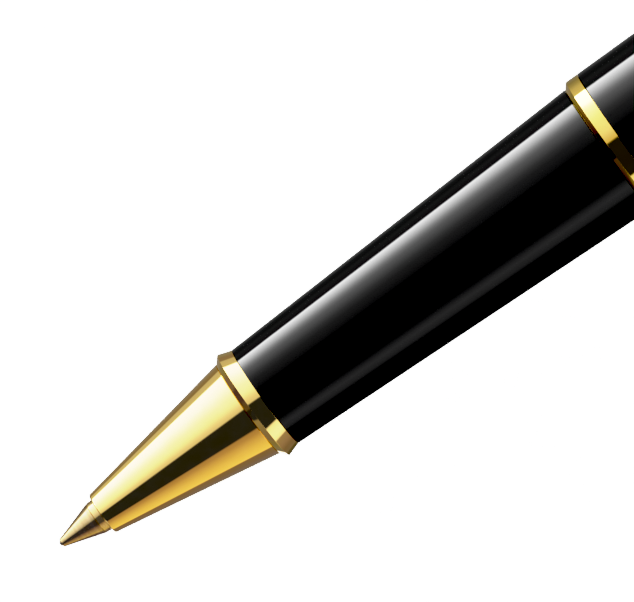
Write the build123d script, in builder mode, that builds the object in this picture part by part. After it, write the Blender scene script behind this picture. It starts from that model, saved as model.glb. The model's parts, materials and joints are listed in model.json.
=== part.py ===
from build123d import *
import os
from math import acos, asin, cos, degrees, radians, sin

# A capped rollerball pen lying on a table, with its cap posted on the tail of the barrel. Millimetres.
# The pen's axis is the X axis. The origin is the foremost point of the writing ball, the tail points
# along +X and +Z is up. Outlines are half sections: distance from the writing point, then radius.

# ---- driving dimensions -------------------------------------------------------------------------
barrel_radius = 6.1            # the barrel's cylindrical front, flush with its trim ring
cap_radius = 7.0               # the cap is the thickest part, so the pen lies on it
ball_radius = 0.25

# refill, along the axis
tip_rim_x = 0.14               # the brass crimped over the ball
tip_cone_end_x = 3.32
tip_cone_end_radius = 1.33
tip_slope = 0.322              # radius gained per millimetre of the tip's cone
tip_radius = 1.38
tip_shoulder_x = 8.4
tip_stem_radius = 0.95
tip_stem_end_x = 12.0
rod_radius = 0.45
rod_end_x = 30.0
nose_radius = 1.95
nose_end_x = 14.95
refill_radius = 2.95
refill_bore = 2.5
refill_tube_x = 18.0
reservoir_x = 22.0
end_plug_x = 107.0
refill_end_x = 111.0

# gripping section, along the axis
cone_mouth_x = 4.01
cone_mouth_bore = 1.45
cone_end_x = 17.92
cone_end_radius = 4.22
cone_slope = 0.1758
cone_lip_round = 0.35
ring_face_radius = 4.15
ring_crest_x = 18.43
ring_crest_radius = 4.77
ring_back_radius = 4.40
grip_start_x = 19.56
grip_start_radius = 4.41
grip_end_x = 52.08
grip_end_radius = 5.66
core_radius = 3.95
spigot_radius = 3.5
spigot_end_x = 24.0
section_bore = 3.05
core_end_x = 47.5
thread_radius = 4.2
thread_end_x = 60.0

# barrel, along the axis
trim_ring_x = 52.1
trim_chamfer_x = 52.49
barrel_start_x = 53.57
bush_radius = 5.2
bush_nose_radius = 4.9
bush_end_x = 61.5
thread_clearance = 0.05
barrel_straight_end_x = 72.0
barrel_bore = 4.1
barrel_end_x = 116.0
barrel_end_radius = 4.80
tail_spigot_radius = 3.4
tail_spigot_x = 112.2
tail_ring_end_x = 117.2
tail_plug_radius = 4.70
tail_end_x = 121.5
spring_pocket_radius = 2.6
spring_pocket_end_x = 116.6
spring_coil_radius = 2.0
spring_wire_radius = 0.2
spring_turns = 6

# cap, along the axis, posted
cap_lip_x = 80.0
lip_band_end_x = 83.5
lip_sleeve_end_x = 84.7
lip_sleeve_radius = 6.5
cap_bore = 6.2
thin_ring_x = 85.4
thin_ring_width = 0.8
thin_ring_depth = 0.3
inner_cap_radius = 5.6
inner_cap_x = 115.5
inner_cap_mouth_bore = 4.88
inner_cap_seat_x = 119.5
inner_cap_bore = 4.3
inner_cap_floor_x = 138.6
cap_shoulder_x = 136.0
cap_end_x = 140.0
cap_end_radius = 6.6
stud_radius = 2.5
stud_end_x = 145.0
collar_end_x = 142.2
finial_radius = 6.3
finial_straight = 0.8
pen_end_x = 147.0

# pocket clip
clip_reach = 9.6               # its outer face, measured from the pen's axis
clip_thickness = 0.9
clip_root_width = 3.6
clip_end_width = 2.6
clip_end_x = 99.0
clip_pivot_radius = 0.75
clip_pivot_reach = 5.8
clip_gap = 0.08                # between the clip's end and the cap


def keep(piece, name):
    """Label a finished piece and write it as its own STEP file."""
    piece.part.label = name
    export_step(piece.part, "parts/" + name + ".step")


os.makedirs("parts", exist_ok=True)

# ---- refill -------------------------------------------------------------------------------------

with BuildPart() as writing_ball:
    with Locations((ball_radius, 0, 0)):
        Sphere(ball_radius)
keep(writing_ball, "writing_ball")

socket_clearance = 0.012
ink_channel_radius = 0.12
ink_channel_end_x = 1.6
rod_bore = 0.5
crimp_end_x = 0.20
tip_edge_x = tip_cone_end_x + 0.05
crimp_end_radius = tip_cone_end_radius - tip_slope * (tip_cone_end_x - crimp_end_x)

with BuildPart() as refill_tip:
    with BuildSketch():
        with BuildLine():
            Polyline(
                (tip_rim_x, 0),
                (tip_rim_x, ball_radius + socket_clearance),
                (crimp_end_x, crimp_end_radius),
                (tip_cone_end_x, tip_cone_end_radius),
                (tip_edge_x, tip_radius),
                (tip_shoulder_x, tip_radius),
                (tip_shoulder_x, tip_stem_radius),
                (tip_stem_end_x, tip_stem_radius),
                (tip_stem_end_x, rod_bore),
                (ink_channel_end_x, rod_bore),
                (ink_channel_end_x, ink_channel_radius),
                (ball_radius, ink_channel_radius),
                (ball_radius, 0),
                close=True,
            )
        make_face()
    revolve(axis=Axis.X)
    with Locations((ball_radius, 0, 0)):
        Sphere(ball_radius + socket_clearance, mode=Mode.SUBTRACT)
keep(refill_tip, "refill_tip")

with BuildPart() as feed_rod:
    with BuildSketch():
        with BuildLine():
            Polyline(
                (ink_channel_end_x, 0),
                (ink_channel_end_x, rod_radius / 2),
                (ink_channel_end_x + rod_radius, rod_radius),
                (rod_end_x, rod_radius),
                (rod_end_x, 0),
                close=True,
            )
        make_face()
    revolve(axis=Axis.X)
keep(feed_rod, "feed_rod")

nose_taper_length = 2.2
nose_shoulder_x = nose_end_x + nose_taper_length

with BuildPart() as refill_nose:
    with BuildSketch():
        with BuildLine():
            Polyline(
                (tip_shoulder_x, tip_stem_radius),
                (tip_shoulder_x, nose_radius),
                (nose_end_x, nose_radius),
                (nose_shoulder_x, refill_radius),
                (refill_tube_x, refill_radius),
                (refill_tube_x, refill_bore),
                (reservoir_x, refill_bore),
                (reservoir_x, rod_bore),
                (tip_stem_end_x, rod_bore),
                (tip_stem_end_x, tip_stem_radius),
                close=True,
            )
        make_face()
    revolve(axis=Axis.X)
keep(refill_nose, "refill_nose")

with BuildPart() as refill_tube:
    with BuildSketch():
        with BuildLine():
            Polyline(
                (refill_tube_x, refill_bore),
                (refill_tube_x, refill_radius),
                (end_plug_x, refill_radius),
                (end_plug_x, refill_bore),
                close=True,
            )
        make_face()
    revolve(axis=Axis.X)
keep(refill_tube, "refill_tube")

plug_spigot_length = 4.0
reservoir_end_gap = 0.2
reservoir_side_gap = 0.05
reservoir_end_x = end_plug_x - plug_spigot_length - reservoir_end_gap
reservoir_radius = refill_bore - reservoir_side_gap

with BuildPart() as ink_reservoir:
    with BuildSketch():
        with BuildLine():
            Polyline(
                (reservoir_x, rod_bore),
                (reservoir_x, reservoir_radius),
                (reservoir_end_x, reservoir_radius),
                (reservoir_end_x, 0),
                (rod_end_x, 0),
                (rod_end_x, rod_bore),
                close=True,
            )
        make_face()
    revolve(axis=Axis.X)
keep(ink_reservoir, "ink_reservoir")

vent_radius = 0.3
plug_edge = 0.4

with BuildPart() as refill_end_plug:
    with BuildSketch():
        with BuildLine():
            Polyline(
                (end_plug_x - plug_spigot_length, vent_radius),
                (end_plug_x - plug_spigot_length, refill_bore),
                (end_plug_x, refill_bore),
                (end_plug_x, refill_radius),
                (refill_end_x - plug_edge, refill_radius),
                (refill_end_x, refill_radius - plug_edge),
                (refill_end_x, vent_radius),
                close=True,
            )
        make_face()
    revolve(axis=Axis.X)
keep(refill_end_plug, "refill_end_plug")

# ---- gripping section ---------------------------------------------------------------------------

cone_corner_radius = cone_end_radius - cone_slope * (cone_end_x - cone_mouth_x)
cone_throat_x = 7.2
cone_throat_end_x = 8.2
nose_side_gap = 0.1
nose_seat_gap = 0.05
cone_bore = nose_radius + nose_side_gap
cone_seat_x = nose_end_x - nose_seat_gap
cone_seat_end_x = nose_shoulder_x - nose_seat_gap

with BuildPart() as front_cone:
    with BuildSketch():
        with BuildLine():
            Polyline(
                (cone_mouth_x, cone_mouth_bore),
                (cone_mouth_x, cone_corner_radius),
                (cone_end_x, cone_end_radius),
                (cone_end_x, spigot_radius),
                (spigot_end_x, spigot_radius),
                (spigot_end_x, section_bore),
                (cone_seat_end_x, section_bore),
                (cone_seat_x, cone_bore),
                (cone_throat_end_x, cone_bore),
                (cone_throat_x, cone_mouth_bore),
                close=True,
            )
        make_face()
    revolve(axis=Axis.X)
    mouth_edges = front_cone.edges().filter_by(GeomType.CIRCLE).group_by(Axis.X)[0]
    fillet(mouth_edges.sort_by(SortBy.RADIUS)[-1], cone_lip_round)
keep(front_cone, "front_cone")

with BuildPart() as front_ring:
    with BuildSketch():
        with BuildLine():
            Polyline(
                (cone_end_x, spigot_radius),
                (cone_end_x, ring_face_radius),
                (ring_crest_x, ring_crest_radius),
                (grip_start_x, ring_back_radius),
                (grip_start_x, spigot_radius),
                close=True,
            )
        make_face()
    revolve(axis=Axis.X)
keep(front_ring, "front_ring")

with BuildPart() as grip_section:
    with BuildSketch():
        with BuildLine():
            Polyline(
                (grip_start_x, core_radius),
                (grip_start_x, grip_start_radius),
                (grip_end_x, grip_end_radius),
                (grip_end_x, core_radius),
                close=True,
            )
        make_face()
    revolve(axis=Axis.X)
keep(grip_section, "grip_section")

with BuildPart() as section_core:
    with BuildSketch():
        with BuildLine():
            Polyline(
                (grip_start_x, spigot_radius),
                (grip_start_x, core_radius),
                (core_end_x, core_radius),
                (core_end_x, section_bore),
                (spigot_end_x, section_bore),
                (spigot_end_x, spigot_radius),
                close=True,
            )
        make_face()
    revolve(axis=Axis.X)
keep(section_core, "section_core")

thread_lead_in = 0.4

with BuildPart() as section_thread:
    with BuildSketch():
        with BuildLine():
            Polyline(
                (core_end_x, section_bore),
                (core_end_x, core_radius),
                (grip_end_x, core_radius),
                (grip_end_x, thread_radius),
                (thread_end_x - thread_lead_in, thread_radius),
                (thread_end_x, thread_radius - thread_lead_in),
                (thread_end_x, section_bore),
                close=True,
            )
        make_face()
    revolve(axis=Axis.X)
keep(section_thread, "section_thread")

# ---- barrel -------------------------------------------------------------------------------------

ring_running_gap = 0.05
ring_step_x = 52.9
ring_face_inset = 0.03         # how far the trim ring's front edge lies under the grip's surface
ring_barrel_gap = 0.02
ring_end_x = barrel_start_x - ring_barrel_gap

with BuildPart() as barrel_trim_ring:
    with BuildSketch():
        with BuildLine():
            Polyline(
                (trim_ring_x, thread_radius + 2 * thread_clearance),
                (trim_ring_x, grip_end_radius - ring_face_inset),
                (trim_chamfer_x, barrel_radius),
                (ring_end_x, barrel_radius),
                (ring_end_x, bush_nose_radius + ring_running_gap),
                (ring_step_x, bush_nose_radius + ring_running_gap),
                (ring_step_x, thread_radius + 2 * thread_clearance),
                close=True,
            )
        make_face()
    revolve(axis=Axis.X)
keep(barrel_trim_ring, "barrel_trim_ring")

with BuildPart() as barrel_bush:
    with BuildSketch():
        with BuildLine():
            Polyline(
                (ring_step_x + ring_running_gap, thread_radius + thread_clearance),
                (ring_step_x + ring_running_gap, bush_nose_radius),
                (barrel_start_x, bush_nose_radius),
                (barrel_start_x, bush_radius),
                (bush_end_x, bush_radius),
                (bush_end_x, thread_radius + thread_clearance),
                close=True,
            )
        make_face()
    revolve(axis=Axis.X)
keep(barrel_bush, "barrel_bush")

with BuildPart() as barrel_shell:
    with BuildSketch():
        with BuildLine():
            tail_curve = TangentArc(
                (barrel_straight_end_x, barrel_radius),
                (barrel_end_x, barrel_end_radius),
                tangent=(1, 0),
            )
            Polyline(
                tail_curve @ 1,
                (barrel_end_x, tail_spigot_radius),
                (tail_spigot_x, tail_spigot_radius),
                (tail_spigot_x, barrel_bore),
                (bush_end_x, barrel_bore),
                (bush_end_x, bush_radius),
                (barrel_start_x, bush_radius),
                (barrel_start_x, barrel_radius),
                tail_curve @ 0,
            )
        make_face()
    revolve(axis=Axis.X)
keep(barrel_shell, "barrel_shell")

tail_ring_step = 0.04

with BuildPart() as tail_ring:
    with BuildSketch():
        with BuildLine():
            Polyline(
                (barrel_end_x, tail_spigot_radius),
                (barrel_end_x, barrel_end_radius),
                (tail_ring_end_x, tail_plug_radius + tail_ring_step),
                (tail_ring_end_x, tail_spigot_radius),
                close=True,
            )
        make_face()
    revolve(axis=Axis.X)
keep(tail_ring, "tail_ring")

with BuildPart() as tail_plug:
    with BuildSketch():
        with BuildLine():
            dome = EllipticalCenterArc(
                (tail_ring_end_x, 0),
                tail_end_x - tail_ring_end_x,
                tail_plug_radius,
                arc_size=90,
            )
            Polyline(
                dome @ 1,
                (tail_ring_end_x, tail_spigot_radius),
                (tail_spigot_x, tail_spigot_radius),
                (tail_spigot_x, spring_pocket_radius),
                (spring_pocket_end_x, spring_pocket_radius),
                (spring_pocket_end_x, 0),
                dome @ 0,
            )
        make_face()
    revolve(axis=Axis.X)
keep(tail_plug, "tail_plug")

# The spring fills the gap between the refill's end and the floor of its pocket.
spring_end_gap = 0.05
spring_start_x = refill_end_x + spring_wire_radius + spring_end_gap
spring_length = spring_pocket_end_x - spring_start_x - spring_wire_radius - spring_end_gap

with BuildPart() as refill_spring:
    with BuildLine() as spring_path:
        Helix(
            pitch=spring_length / spring_turns,
            height=spring_length,
            radius=spring_coil_radius,
            center=(spring_start_x, 0, 0),
            direction=(1, 0, 0),
        )
    with BuildSketch(Plane(origin=spring_path.line @ 0, z_dir=spring_path.line % 0)):
        Circle(spring_wire_radius)
    sweep(is_frenet=True)
keep(refill_spring, "refill_spring")

# ---- cap ----------------------------------------------------------------------------------------

lip_round = 0.25

with BuildPart() as cap_lip_band:
    with BuildSketch():
        with BuildLine():
            Polyline(
                (cap_lip_x, cap_bore),
                (cap_lip_x, cap_radius),
                (lip_band_end_x, cap_radius),
                (lip_band_end_x, lip_sleeve_radius),
                (lip_sleeve_end_x, lip_sleeve_radius),
                (lip_sleeve_end_x, cap_bore),
                close=True,
            )
        make_face()
    revolve(axis=Axis.X)
    fillet(cap_lip_band.edges().filter_by(GeomType.CIRCLE).group_by(Axis.X)[0], lip_round)
keep(cap_lip_band, "cap_lip_band")

thin_ring_root = cap_radius - thin_ring_depth

with BuildPart() as cap_thin_ring:
    with BuildSketch():
        with BuildLine():
            Polyline(
                (thin_ring_x, thin_ring_root),
                (thin_ring_x, cap_radius),
                (thin_ring_x + thin_ring_width, cap_radius),
                (thin_ring_x + thin_ring_width, thin_ring_root),
                close=True,
            )
        make_face()
    revolve(axis=Axis.X)
keep(cap_thin_ring, "cap_thin_ring")

with BuildPart() as cap_shell:
    with BuildSketch():
        with BuildLine():
            shoulder_curve = TangentArc(
                (cap_shoulder_x, cap_radius),
                (cap_end_x, cap_end_radius),
                tangent=(1, 0),
            )
            Polyline(
                shoulder_curve @ 1,
                (cap_end_x, inner_cap_radius),
                (inner_cap_x, inner_cap_radius),
                (inner_cap_x, cap_bore),
                (lip_sleeve_end_x, cap_bore),
                (lip_sleeve_end_x, lip_sleeve_radius),
                (lip_band_end_x, lip_sleeve_radius),
                (lip_band_end_x, cap_radius),
                (thin_ring_x, cap_radius),
                (thin_ring_x, thin_ring_root),
                (thin_ring_x + thin_ring_width, thin_ring_root),
                (thin_ring_x + thin_ring_width, cap_radius),
                shoulder_curve @ 0,
            )
        make_face()
    revolve(axis=Axis.X)
keep(cap_shell, "cap_shell")

seat_length = 0.5              # the bevel that meets the chamfer of the front ring when capped
mouth_bevel = 0.5

with BuildPart() as inner_cap:
    with BuildSketch():
        with BuildLine():
            Polyline(
                (inner_cap_x, inner_cap_mouth_bore + mouth_bevel / 2),
                (inner_cap_x, inner_cap_radius),
                (cap_end_x, inner_cap_radius),
                (cap_end_x, stud_radius),
                (stud_end_x, stud_radius),
                (stud_end_x, 0),
                (inner_cap_floor_x, 0),
                (inner_cap_floor_x, inner_cap_bore),
                (inner_cap_seat_x + seat_length, inner_cap_bore),
                (inner_cap_seat_x, inner_cap_mouth_bore),
                (inner_cap_x + mouth_bevel, inner_cap_mouth_bore),
                close=True,
            )
        make_face()
    revolve(axis=Axis.X)
keep(inner_cap, "inner_cap")

# The clip leans out of the vertical until the cap and the edge of the clip both touch the table.
clip_edge_angle = degrees(asin(clip_root_width / 2 / clip_reach))
clip_lean = degrees(acos(cap_radius / clip_reach)) + clip_edge_angle
clip_out = Vector(0, -sin(radians(clip_lean)), -cos(radians(clip_lean)))
clip_side = Plane(origin=(0, 0, 0), x_dir=(1, 0, 0), z_dir=Vector(1, 0, 0).cross(clip_out))
clip_top = Plane(origin=(0, 0, 0), x_dir=(1, 0, 0), z_dir=clip_out)

clip_pivot_x = (cap_end_x + collar_end_x) / 2
pivot_gap = 0.04
slot_gap = 0.15
neck_half = clip_thickness / 2
clip_slot_height = 4.0

with BuildPart() as clip_collar:
    with BuildSketch():
        with BuildLine():
            Polyline(
                (cap_end_x, stud_radius),
                (cap_end_x, cap_end_radius),
                (collar_end_x, cap_end_radius),
                (collar_end_x, stud_radius),
                close=True,
            )
        make_face()
    revolve(axis=Axis.X)
    with BuildSketch(clip_side):
        with Locations((clip_pivot_x, clip_pivot_reach)):
            Circle(clip_pivot_radius + pivot_gap)
        with Locations((clip_pivot_x, clip_pivot_reach + clip_slot_height / 2)):
            Rectangle(2 * (neck_half + slot_gap), clip_slot_height)
    extrude(amount=clip_root_width / 2 + slot_gap, both=True, mode=Mode.SUBTRACT)
keep(clip_collar, "clip_collar")

clip_end_reach = cap_radius + clip_gap
clip_pad_length = 5.0
clip_pad_rise = 0.9            # how far the pad's ends stand above its middle
clip_bend = 1.6
clip_end_drop = 0.7            # how much nearer to the cap its outer face is at the end
clip_blank_width = 2 * clip_root_width
trim_margin = 1.0              # how far a trimming solid reaches past the clip

with BuildPart() as clip_arm:
    with BuildSketch(clip_side):
        with Locations((clip_pivot_x, clip_pivot_reach)):
            Circle(clip_pivot_radius)
        with BuildLine():
            outer = FilletPolyline(
                (clip_pivot_x + neck_half, clip_pivot_reach),
                (clip_pivot_x + neck_half, clip_reach),
                (clip_pivot_x - clip_pad_length, clip_reach),
                radius=clip_bend,
            )
            pad = ThreePointArc(
                (clip_end_x, clip_end_reach + clip_pad_rise),
                (clip_end_x + clip_pad_length / 2, clip_end_reach),
                (clip_end_x + clip_pad_length, clip_end_reach + clip_pad_rise),
            )
            inner = FilletPolyline(
                (clip_pivot_x - clip_pad_length, clip_reach - clip_thickness),
                (clip_pivot_x - neck_half, clip_reach - clip_thickness),
                (clip_pivot_x - neck_half, clip_pivot_reach),
                radius=clip_bend - clip_thickness,
            )
            Line(outer @ 1, (clip_end_x, clip_reach - clip_end_drop))
            Line((clip_end_x, clip_reach - clip_end_drop), pad @ 0)
            Line(pad @ 1, inner @ 0)
            Line(inner @ 1, outer @ 0)
        make_face()
    extrude(amount=clip_blank_width / 2, both=True)
    # seen from above the arm narrows towards its rounded end
    with BuildSketch(clip_top):
        with BuildLine():
            Polyline(
                (clip_pivot_x + clip_pivot_radius, -clip_root_width / 2),
                (clip_pivot_x + clip_pivot_radius, clip_root_width / 2),
                (clip_end_x, clip_end_width / 2),
                (clip_end_x, -clip_end_width / 2),
                close=True,
            )
        make_face()
    extrude(amount=2 * clip_reach, mode=Mode.INTERSECT)
    # its outer face is rounded about the pen's axis
    with BuildSketch(Plane.YZ.offset(clip_end_x - trim_margin)):
        Circle(clip_reach)
    extrude(amount=clip_pivot_x + clip_pivot_radius - clip_end_x + 2 * trim_margin, mode=Mode.INTERSECT)
keep(clip_arm, "clip_arm")

with BuildPart() as finial:
    with BuildSketch():
        with BuildLine():
            crown_x = collar_end_x + finial_straight
            crown = EllipticalCenterArc(
                (crown_x, 0),
                pen_end_x - crown_x,
                finial_radius,
                arc_size=90,
            )
            Polyline(
                crown @ 1,
                (collar_end_x, finial_radius),
                (collar_end_x, stud_radius),
                (stud_end_x, stud_radius),
                (stud_end_x, 0),
                crown @ 0,
            )
        make_face()
    revolve(axis=Axis.X)
keep(finial, "finial")
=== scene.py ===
import json
import math

import bmesh
import bpy
from mathutils import Matrix, Vector


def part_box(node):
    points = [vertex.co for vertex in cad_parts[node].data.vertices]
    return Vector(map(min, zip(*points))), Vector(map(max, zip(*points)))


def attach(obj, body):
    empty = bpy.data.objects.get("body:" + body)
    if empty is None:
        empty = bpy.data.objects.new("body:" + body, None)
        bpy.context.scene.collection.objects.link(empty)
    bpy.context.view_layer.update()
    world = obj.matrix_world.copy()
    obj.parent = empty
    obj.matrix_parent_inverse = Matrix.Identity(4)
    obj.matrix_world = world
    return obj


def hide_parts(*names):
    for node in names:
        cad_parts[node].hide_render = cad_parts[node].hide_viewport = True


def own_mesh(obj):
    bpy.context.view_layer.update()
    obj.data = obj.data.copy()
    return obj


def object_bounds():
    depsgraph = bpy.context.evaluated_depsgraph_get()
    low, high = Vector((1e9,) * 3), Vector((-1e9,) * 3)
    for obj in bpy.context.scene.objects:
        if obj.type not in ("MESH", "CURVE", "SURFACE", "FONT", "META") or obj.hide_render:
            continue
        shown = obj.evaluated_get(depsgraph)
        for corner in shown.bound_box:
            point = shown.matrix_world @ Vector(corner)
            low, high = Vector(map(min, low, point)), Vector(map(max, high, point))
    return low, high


# A rollerball pen lying on a table with its cap posted, seen from high above. Blender works in metres.
# The pen's axis is the X axis, the writing point is the origin and the tail points along +X.
# Outlines are half sections in millimetres: distance from the writing point, radius, rounding.

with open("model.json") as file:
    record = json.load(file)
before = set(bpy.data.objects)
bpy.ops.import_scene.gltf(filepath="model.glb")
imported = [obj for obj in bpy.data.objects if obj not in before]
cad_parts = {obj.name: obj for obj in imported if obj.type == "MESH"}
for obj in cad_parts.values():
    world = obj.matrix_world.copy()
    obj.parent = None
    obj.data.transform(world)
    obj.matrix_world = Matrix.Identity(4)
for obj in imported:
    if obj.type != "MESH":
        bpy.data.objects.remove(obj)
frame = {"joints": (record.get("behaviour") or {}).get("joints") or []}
cad_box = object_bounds()

MM = 0.001
SIDES = 160                    # facets round a piece that shows
INNER_SIDES = 96               # facets round a piece inside the pen
ARC_STEPS = 6                  # facets in a rounded edge
ARC_SHARE = 0.45               # the most of a side that a rounded edge may take up
HOLD = 0.005                   # distance, in mm, of the loops that keep a flat face flat beside an edge

# Places and radii that more than one piece has, in millimetres.
TIP_STEP = 3.42                # where the refill tip's cone ends and its stem begins
TIP_PLUG_RADIUS = 0.95         # the back of the refill tip, pressed into the refill's nose
ROD_BORE = 0.5
SEAT_START = 14.9              # the slope in the front cone that the refill rests against
SEAT_END = 17.1
SPIGOT_RADIUS = 3.5            # the back of the front cone, inside the ring and the grip's lining
SECTION_BORE = 3.05
BUSH_RADIUS = 5.2
BARREL_BORE = 4.1
TAIL_BORE = 3.4
CAP_BORE = 6.2
LIP_SLEEVE_RADIUS = 6.5        # the part of the lip band that is under the cap's shell
THIN_RING_BED = 6.7            # the bottom of the groove for the cap's thin ring
STUD_RADIUS = 2.5              # the inner cap's stud, which holds the collar and the finial


def ends(node):
    """Where a turned CAD node starts and ends along the axis, and its radius, in millimetres."""
    low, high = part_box(node)
    return low.x / MM, high.x / MM, high.z / MM


# ---- turned shapes ------------------------------------------------------------------------------

def rounded(corners):
    """The closed outline through (x, radius, rounding) corners, with an arc at each rounded one."""
    line = []
    count = len(corners)
    for i, corner in enumerate(corners):
        here = Vector(corner[:2])
        size = corner[2] if len(corner) > 2 else 0
        back = Vector(corners[i - 1][:2]) - here
        ahead = Vector(corners[(i + 1) % count][:2]) - here
        if size <= 0:
            line.append(here)
            continue
        half = back.angle(ahead) / 2
        reach = min(size / math.tan(half), back.length * ARC_SHARE, ahead.length * ARC_SHARE)
        size = reach * math.tan(half)
        back.normalize()
        ahead.normalize()
        centre = here + (back + ahead).normalized() * (size / math.sin(half))
        start = here + back * reach - centre
        turn = start.angle_signed(here + ahead * reach - centre)
        line.append(here + back * (reach + HOLD))
        for step in range(ARC_STEPS + 1):
            angle = -turn * step / ARC_STEPS
            line.append(centre + Matrix.Rotation(angle, 2) @ start)
        line.append(here + ahead * (reach + HOLD))
    return line


def shallow_arc(start, end, radius, end_radius, steps):
    """The points after the start of an arc that leaves a cylinder smoothly and narrows to the end."""
    length = end - start
    drop = radius - end_radius
    arc_radius = (length ** 2 + drop ** 2) / (2 * drop)
    line = []
    for step in range(1, steps + 1):
        along = length * step / steps
        line.append((start + along, radius - arc_radius + math.sqrt(arc_radius ** 2 - along ** 2)))
    return line


def dome(rim, top, radius, steps):
    """The points of a domed end, from its rim to its top on the axis."""
    line = []
    for step in range(steps + 1):
        angle = math.pi / 2 * step / steps
        line.append((rim + (top - rim) * math.sin(angle), radius * math.cos(angle)))
    return line


def ring_of_corners(mesh, x, radii):
    """Corners round the X axis, one for each radius."""
    ring = []
    for k, radius in enumerate(radii):
        angle = 2 * math.pi * k / len(radii)
        corner = (x * MM, radius * MM * math.cos(angle), radius * MM * math.sin(angle))
        ring.append(mesh.verts.new(corner))
    return ring


def bridge(mesh, first, second):
    """Faces between two rings with equally many corners. Either ring may be one point on the axis."""
    sides = max(len(first), len(second))
    if sides == 1:
        return
    for k in range(sides):
        after = (k + 1) % sides
        if len(first) == 1:
            mesh.faces.new((first[0], second[k], second[after]))
        elif len(second) == 1:
            mesh.faces.new((first[k], second[0], first[after]))
        else:
            mesh.faces.new((first[k], second[k], second[after], first[after]))


def revolve(name, line, sides=SIDES):
    """A closed mesh turned about the X axis from a closed outline of (x, radius) points."""
    mesh = bmesh.new()
    rings = []
    for x, radius in line:
        on_axis = radius < 1e-6
        rings.append(ring_of_corners(mesh, x, [0] if on_axis else [radius] * sides))
    for first, second in zip(rings, rings[1:] + rings[:1]):
        bridge(mesh, first, second)
    return finish_mesh(name, mesh)


def join_rings(mesh, rings):
    """Faces between rings in a row, and a face at either end."""
    for first, second in zip(rings, rings[1:]):
        bridge(mesh, first, second)
    mesh.faces.new(rings[0])
    mesh.faces.new(rings[-1])


def finish_mesh(name, mesh, sharp_angle=35):
    """Turn a bmesh into an object with outward normals and smooth shading."""
    bmesh.ops.recalc_face_normals(mesh, faces=mesh.faces)
    data = bpy.data.meshes.new(name)
    mesh.to_mesh(data)
    mesh.free()
    data.shade_smooth()
    data.set_sharp_from_angle(angle=math.radians(sharp_angle))
    piece = bpy.data.objects.new(name, data)
    bpy.context.scene.collection.objects.link(piece)
    return piece


def place(piece, body, node, material):
    """Give a piece its material, the body that it rides on and the CAD node that it stands for."""
    piece.data.materials.clear()
    piece.data.materials.append(material)
    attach(piece, body)
    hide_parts(node)
    return piece


# ---- materials ----------------------------------------------------------------------------------

def new_material(name, colour, metallic, roughness, ior=1.5):
    """A Principled material. Returns it with its node tree and its shader node."""
    material = bpy.data.materials.new(name)
    material.use_nodes = True
    tree = material.node_tree
    shader = tree.nodes["Principled BSDF"]
    shader.inputs["Base Color"].default_value = (*colour, 1)
    shader.inputs["Metallic"].default_value = metallic
    shader.inputs["Roughness"].default_value = roughness
    shader.inputs["IOR"].default_value = ior
    return material, tree, shader


def object_coordinates(tree, scale=(1, 1, 1)):
    """Object coordinates, in metres, times a scale along each axis."""
    source = tree.nodes.new("ShaderNodeTexCoord")
    mapping = tree.nodes.new("ShaderNodeMapping")
    mapping.inputs["Scale"].default_value = scale
    tree.links.new(source.outputs["Object"], mapping.inputs["Vector"])
    return mapping.outputs["Vector"]


def noise(tree, vector, scale, detail=3, roughness=0.5):
    """A noise texture's value, about 0 to 1."""
    node = tree.nodes.new("ShaderNodeTexNoise")
    node.inputs["Scale"].default_value = scale
    node.inputs["Detail"].default_value = detail
    node.inputs["Roughness"].default_value = roughness
    tree.links.new(vector, node.inputs["Vector"])
    return node.outputs["Fac"]


def spread(tree, value, low, high, start=0.3, end=0.7):
    """A value mapped onto the range from low to high, by default from where most of a noise lies."""
    node = tree.nodes.new("ShaderNodeMapRange")
    node.inputs["From Min"].default_value = start
    node.inputs["From Max"].default_value = end
    node.inputs["To Min"].default_value = low
    node.inputs["To Max"].default_value = high
    tree.links.new(value, node.inputs["Value"])
    return node.outputs["Result"]


def tint(tree, value, first, second):
    """A colour between two, by a value from 0 to 1."""
    node = tree.nodes.new("ShaderNodeMix")
    node.data_type = "RGBA"
    node.inputs["A"].default_value = (*first, 1)
    node.inputs["B"].default_value = (*second, 1)
    tree.links.new(value, node.inputs["Factor"])
    return node.outputs["Result"]


def blend(tree, colour, other, value, start, end):
    """One colour until the value reaches the start, the other from the end on."""
    node = tree.nodes.new("ShaderNodeMix")
    node.data_type = "RGBA"
    if start < end:
        factor = spread(tree, value, 0, 1, start, end)
    else:
        factor = spread(tree, value, 1, 0, end, start)
    tree.links.new(factor, node.inputs["Factor"])
    tree.links.new(colour, node.inputs["A"])
    tree.links.new(other, node.inputs["B"])
    return node.outputs["Result"]


def paint(tree, shader, value, first, second):
    """Colour a shader between two colours by a noise value."""
    tree.links.new(tint(tree, spread(tree, value, 0, 1), first, second), shader.inputs["Base Color"])


def polish(tree, shader, value, low, high):
    """Vary a shader's roughness from low to high by a noise value."""
    tree.links.new(spread(tree, value, low, high), shader.inputs["Roughness"])


def relief(tree, shader, height, depth):
    """Bump from a height of 0 to 1 that is worth this depth in metres."""
    node = tree.nodes.new("ShaderNodeBump")
    node.inputs["Distance"].default_value = depth
    tree.links.new(height, node.inputs["Height"])
    tree.links.new(node.outputs["Normal"], shader.inputs["Normal"])


def gold_plate(name, colour):
    """Mirror-polished plating: faint cloudiness, and hair-fine polishing marks round the axis."""
    material, tree, shader = new_material(name, colour, 1.0, 0.04)
    cloud = noise(tree, object_coordinates(tree), 900, 4)
    bright = tuple(channel + 0.01 for channel in colour)
    dim = tuple(channel - 0.01 for channel in colour)
    paint(tree, shader, cloud, bright, dim)
    marks = noise(tree, object_coordinates(tree, (9000, 60, 60)), 1, 4)
    polish(tree, shader, marks, 0.025, 0.055)
    relief(tree, shader, marks, 0.00000012)
    return material


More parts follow.
